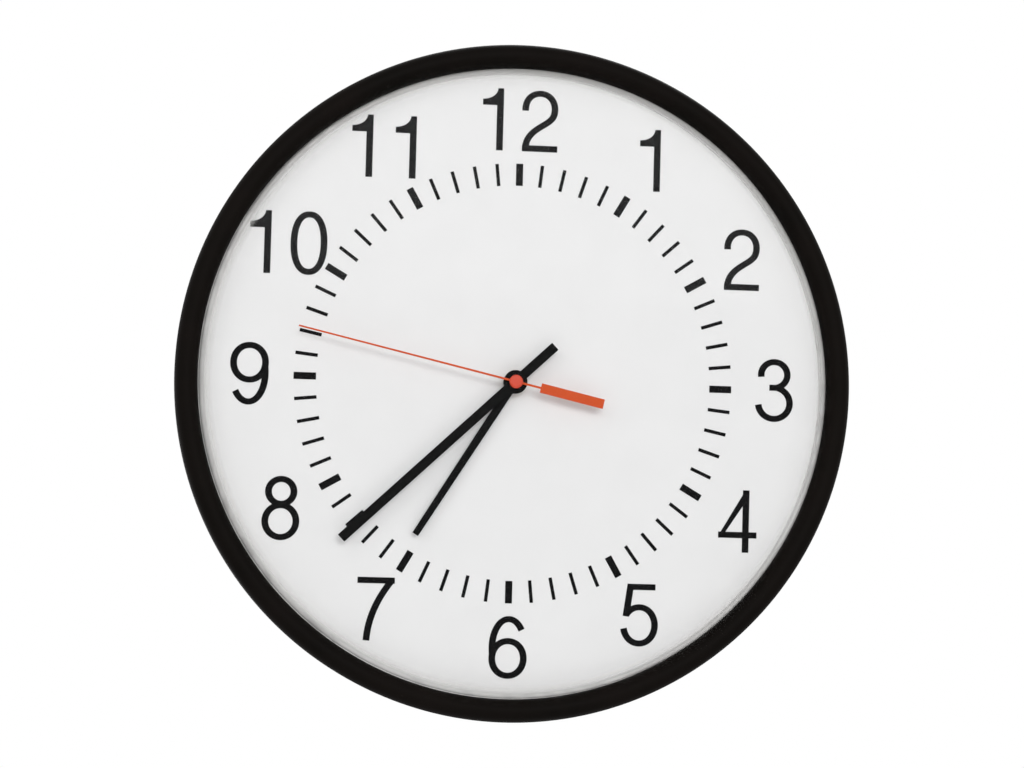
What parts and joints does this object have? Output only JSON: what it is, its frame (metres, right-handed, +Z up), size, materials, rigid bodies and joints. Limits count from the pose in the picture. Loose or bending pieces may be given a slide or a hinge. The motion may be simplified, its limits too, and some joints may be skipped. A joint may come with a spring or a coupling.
{
  "type": "network analog clock",
  "caption": "Round wall clock with a domed lens, a white printed dial, three hands and a circuit board that takes power and time from a network jack.",
  "frame": {"origin": "centre of the clock's back rim, on the plane of the wall", "axes": "+Z up, -Y out of the dial towards the viewer, +X to the viewer's right; +Y points into the wall"},
  "size_m": [0.328, 0.05, 0.328],
  "materials": {
    "rear_case": "fine matt grain",
    "front_bezel": "satin",
    "lens": "clear polycarbonate",
    "dial_plate": "satin white",
    "dial_ink": "printed ink",
    "hand_black": "satin black",
    "hand_orange": "satin orange-red",
    "cap_red": "satin red",
    "brass": "turned",
    "steel": "zinc plated",
    "movement_plastic": "moulded",
    "gear_plastic": "moulded",
    "pinion_plastic": "moulded",
    "magnet": "sintered",
    "copper_wire": "enamelled copper wire",
    "bobbin_plastic": "moulded",
    "rubber": "matt",
    "board": "green solder mask",
    "chip_black": "moulded epoxy",
    "jack_metal": "tinned shield",
    "gold": "gold plated",
    "ferrite": "sintered ferrite",
    "tape": "polyester tape",
    "capacitor_sleeve": "shrink sleeve",
    "lead_grey": "flat ribbon"
  },
  "bodies": {
    "case": {"rear_case": "rear_case", "front_bezel": "front_bezel", "lens": "lens", "dial_plate": "dial_plate", "dial_numbers": "dial_ink", "dial_ticks": "dial_ink", "bezel_screws": "steel", "hanger_plate": "steel", "hanger_screws": "steel", "movement_front_shell": "movement_plastic", "movement_rear_shell": "movement_plastic", "movement_screws": "steel", "movement_socket": "bobbin_plastic", "mounting_bushing": "brass", "mounting_washer": "rubber", "mounting_nut": "brass", "second_stator": "steel", "second_coil_core": "steel", "second_coil_bobbin": "bobbin_plastic", "second_coil": "copper_wire", "minute_stator": "steel", "minute_coil_core": "steel", "minute_coil_bobbin": "bobbin_plastic", "minute_coil": "copper_wire", "main_board": "board", "board_screws": "steel", "network_jack": "jack_metal", "jack_contacts": "gold", "power_transformer_core": "ferrite", "power_transformer_bobbin": "tape", "processor_chip": "chip_black", "power_chip": "chip_black", "filter_capacitors": "capacitor_sleeve", "board_header": "bobbin_plastic", "motor_lead": "lead_grey", "reset_switch": "jack_metal"},
    "second_hand_assembly": {"second_hand": "hand_orange", "second_hand_cap": "cap_red", "second_arbor": "steel", "second_wheel": "gear_plastic"},
    "second_middle_gear": {"second_middle_wheel": "gear_plastic"},
    "second_rotor": {"second_rotor_pinion": "pinion_plastic", "second_rotor_magnet": "magnet"},
    "minute_hand_assembly": {"minute_hand": "hand_black", "minute_hand_collet": "brass", "minute_wheel": "gear_plastic"},
    "minute_third_gear": {"minute_third_wheel": "gear_plastic"},
    "minute_middle_gear": {"minute_middle_wheel": "gear_plastic"},
    "minute_rotor": {"minute_rotor_pinion": "pinion_plastic", "minute_rotor_magnet": "magnet"},
    "motion_gear": {"motion_wheel": "gear_plastic"},
    "hour_hand_assembly": {"hour_hand": "hand_black", "hour_hand_collet": "brass", "hour_wheel": "gear_plastic"},
    "reset_plunger": {"reset_button": "chip_black"}
  },
  "joints": [
    {"name": "second_hand_turn", "type": "hinge", "parent": "case", "child": "second_hand_assembly", "pos_m": [0, -0.039, 0], "axis": [0, 1, 0], "continuous": true},
    {"name": "second_middle_turn", "type": "hinge", "parent": "case", "child": "second_middle_gear", "pos_m": [-0.01391, -0.019, -0.00373], "axis": [0, 1, 0], "continuous": true},
    {"name": "second_rotor_turn", "type": "hinge", "parent": "case", "child": "second_rotor", "pos_m": [-0.01342, -0.022, -0.01772], "axis": [0, 1, 0], "continuous": true},
    {"name": "minute_hand_turn", "type": "hinge", "parent": "case", "child": "minute_hand_assembly", "pos_m": [0, -0.037, 0], "axis": [0, 1, 0], "continuous": true},
    {"name": "minute_third_turn", "type": "hinge", "parent": "case", "child": "minute_third_gear", "pos_m": [0.01149, -0.02, -0.00964], "axis": [0, 1, 0], "continuous": true},
    {"name": "minute_middle_turn", "type": "hinge", "parent": "case", "child": "minute_middle_gear", "pos_m": [0.01399, -0.019, 0.00454], "axis": [0, 1, 0], "continuous": true},
    {"name": "minute_rotor_turn", "type": "hinge", "parent": "case", "child": "minute_rotor", "pos_m": [0.01761, -0.022, 0.01806], "axis": [0, 1, 0], "continuous": true},
    {"name": "motion_turn", "type": "hinge", "parent": "case", "child": "motion_gear", "pos_m": [-0.00771, -0.024, 0.00919], "axis": [0, 1, 0], "continuous": true},
    {"name": "hour_hand_turn", "type": "hinge", "parent": "case", "child": "hour_hand_assembly", "pos_m": [0, -0.034, 0], "axis": [0, 1, 0], "continuous": true},
    {"name": "reset_press", "type": "slide", "parent": "case", "child": "reset_plunger", "axis": [0, -1, 0], "range_m": [0, 0.0003], "stiffness_N_per_m": 3000}
  ],
  "couplings": [
    {"joint": "second_middle_turn", "follows": "second_hand_turn", "ratio": -5},
    {"joint": "second_rotor_turn", "follows": "second_hand_turn", "ratio": 30},
    {"joint": "minute_third_turn", "follows": "minute_hand_turn", "ratio": -4},
    {"joint": "minute_middle_turn", "follows": "minute_hand_turn", "ratio": 20},
    {"joint": "minute_rotor_turn", "follows": "minute_hand_turn", "ratio": -120},
    {"joint": "motion_turn", "follows": "minute_hand_turn", "ratio": -0.33333},
    {"joint": "hour_hand_turn", "follows": "minute_hand_turn", "ratio": 0.083333}
  ]
}
